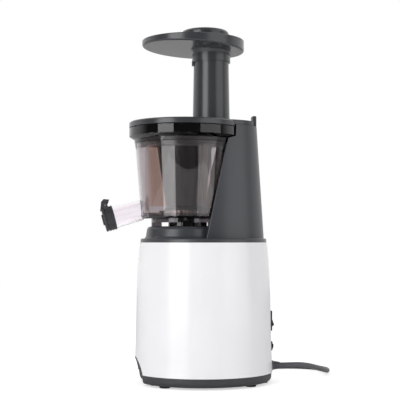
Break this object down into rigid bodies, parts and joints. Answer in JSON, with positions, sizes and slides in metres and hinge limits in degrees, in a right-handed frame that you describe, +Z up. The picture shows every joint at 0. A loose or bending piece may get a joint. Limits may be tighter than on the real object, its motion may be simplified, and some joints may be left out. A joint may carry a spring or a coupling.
{
  "type": "cold press juicer",
  "caption": "Upright cold press juicer with a white motor base, a see-through pressing bowl, a spout with a flip tap, a feed tube, a tray and a pusher.",
  "frame": {"origin": "centre of the base on the table surface", "axes": "+Z up, -X towards the juice spout, +X towards the tower and the cord"},
  "size_m": [0.3186, 0.3105, 0.4605],
  "materials": {
    "white_shell": "smooth glossy white plastic",
    "dark_shell": "dark grey satin plastic",
    "dark_cover": "dark grey plastic, fine matt grain",
    "foot_rubber": "black rubber",
    "steel": "plain turned steel",
    "screw_steel": "zinc plated steel",
    "laminated_steel": "stacked iron sheet",
    "copper_winding": "enamelled copper wire",
    "bearing_bronze": "sintered bronze",
    "gear_plastic": "natural acetal",
    "case_plastic": "glass filled nylon, dark grey",
    "board_green": "circuit board with its components",
    "black_plastic": "black plastic",
    "bowl_clear": "smoky see-through plastic",
    "spout_clear": "clear plastic",
    "cage_clear": "hazy clear plastic",
    "silicone_dark": "dark silicone",
    "silicone_amber": "amber silicone",
    "strainer_steel": "etched fine steel mesh",
    "auger_plastic": "dark plastic",
    "magnet": "ferrite",
    "cord_jacket": "dark grey cord jacket"
  },
  "bodies": {
    "base": {"motor_housing": "white_shell", "base_cover": "dark_cover", "rubber_feet": "foot_rubber", "housing_screws": "screw_steel", "upper_housing": "dark_shell", "shaft_seal": "silicone_dark", "gearbox_case": "case_plastic", "gearbox_cover": "case_plastic", "gearbox_screws": "screw_steel", "compound_axle": "steel", "output_bushes": "bearing_bronze", "stator_core": "laminated_steel", "stator_windings": "copper_winding", "motor_brackets": "steel", "motor_bushes": "bearing_bronze", "circuit_board": "board_green", "interlock_switch": "black_plastic", "switch_body": "black_plastic", "reset_breaker": "black_plastic", "cord_free": "cord_jacket", "cord_coil": "cord_jacket", "strain_relief": "cord_jacket", "plug_body": "cord_jacket", "plug_pins": "steel"},
    "rotor": {"rotor_core": "laminated_steel", "motor_shaft": "steel", "cooling_fan": "black_plastic"},
    "compound": {"compound_gear": "gear_plastic"},
    "drive": {"output_gear": "gear_plastic", "drive_shaft": "steel"},
    "rocker_key": {"rocker": "black_plastic"},
    "reset_key": {"reset_button": "black_plastic"},
    "bowl_unit": {"bowl": "bowl_clear", "bowl_gasket": "silicone_dark", "idler_pins": "steel", "pulp_spout": "bowl_clear", "juice_spout": "spout_clear", "tap_collar": "dark_cover", "tap_hinge_pin": "steel", "strainer_mesh": "strainer_steel", "strainer_frame": "auger_plastic"},
    "tap": {"tap_flap": "dark_cover", "tap_seal": "silicone_dark"},
    "auger_unit": {"auger": "auger_plastic"},
    "brush_unit": {"brush_cage": "cage_clear", "wiper_blades": "silicone_amber"},
    "idler_a": {"idler_gear_a": "gear_plastic"},
    "idler_b": {"idler_gear_b": "gear_plastic"},
    "lid_unit": {"lid": "dark_shell", "lid_bush": "bearing_bronze", "lid_gasket": "silicone_dark", "lid_magnet": "magnet"},
    "tray_unit": {"tray": "dark_shell"},
    "pusher_unit": {"pusher": "dark_shell", "pusher_seal": "silicone_dark"}
  },
  "joints": [
    {"name": "motor_spin", "type": "hinge", "parent": "base", "child": "rotor", "pos_m": [0, 0, 0.1], "axis": [0, 0, 1], "continuous": true},
    {"name": "compound_spin", "type": "hinge", "parent": "base", "child": "compound", "pos_m": [0.00554, 0.03314, 0.15], "axis": [0, 0, 1], "continuous": true},
    {"name": "drive_spin", "type": "hinge", "parent": "base", "child": "drive", "pos_m": [-0.0249, 0, 0.16], "axis": [0, 0, 1], "continuous": true},
    {"name": "rocker_tilt", "type": "hinge", "parent": "base", "child": "rocker_key", "pos_m": [0.083, 0, 0.079], "axis": [0, 1, 0], "range_deg": [0, 18]},
    {"name": "reset_press", "type": "slide", "parent": "base", "child": "reset_key", "axis": [-1, 0, 0], "range_m": [0, 0.002], "stiffness_N_per_m": 300},
    {"name": "bowl_lift", "type": "slide", "parent": "base", "child": "bowl_unit", "axis": [0, 0, 1], "range_m": [0, 0.14]},
    {"name": "tap_swing", "type": "hinge", "parent": "bowl_unit", "child": "tap", "pos_m": [-0.1279, 0, 0.2285], "axis": [0, 1, 0], "range_deg": [0, 55]},
    {"name": "auger_spin", "type": "hinge", "parent": "bowl_unit", "child": "auger_unit", "pos_m": [-0.0249, 0, 0.25], "axis": [0, 0, 1], "continuous": true},
    {"name": "brush_spin", "type": "hinge", "parent": "bowl_unit", "child": "brush_unit", "pos_m": [-0.0249, 0, 0.25], "axis": [0, 0, 1], "continuous": true},
    {"name": "idler_a_spin", "type": "hinge", "parent": "bowl_unit", "child": "idler_a", "pos_m": [-0.0249, 0.0195, 0.2175], "axis": [0, 0, 1], "continuous": true},
    {"name": "idler_b_spin", "type": "hinge", "parent": "bowl_unit", "child": "idler_b", "pos_m": [-0.0249, -0.0195, 0.2175], "axis": [0, 0, 1], "continuous": true},
    {"name": "lid_lift", "type": "slide", "parent": "bowl_unit", "child": "lid_unit", "axis": [0, 0, 1], "range_m": [0, 0.03]},
    {"name": "tray_lift", "type": "slide", "parent": "lid_unit", "child": "tray_unit", "axis": [0, 0, 1], "range_m": [0, 0.03]},
    {"name": "pusher_slide", "type": "slide", "parent": "tray_unit", "child": "pusher_unit", "axis": [0, 0, 1], "range_m": [0, 0.09]}
  ],
  "couplings": [
    {"joint": "compound_spin", "follows": "motor_spin", "ratio": -0.16667},
    {"joint": "drive_spin", "follows": "motor_spin", "ratio": 0.033333},
    {"joint": "auger_spin", "follows": "motor_spin", "ratio": 0.033333},
    {"joint": "idler_a_spin", "follows": "motor_spin", "ratio": -0.038889},
    {"joint": "idler_b_spin", "follows": "motor_spin", "ratio": -0.038889},
    {"joint": "brush_spin", "follows": "motor_spin", "ratio": -0.012281}
  ]
}
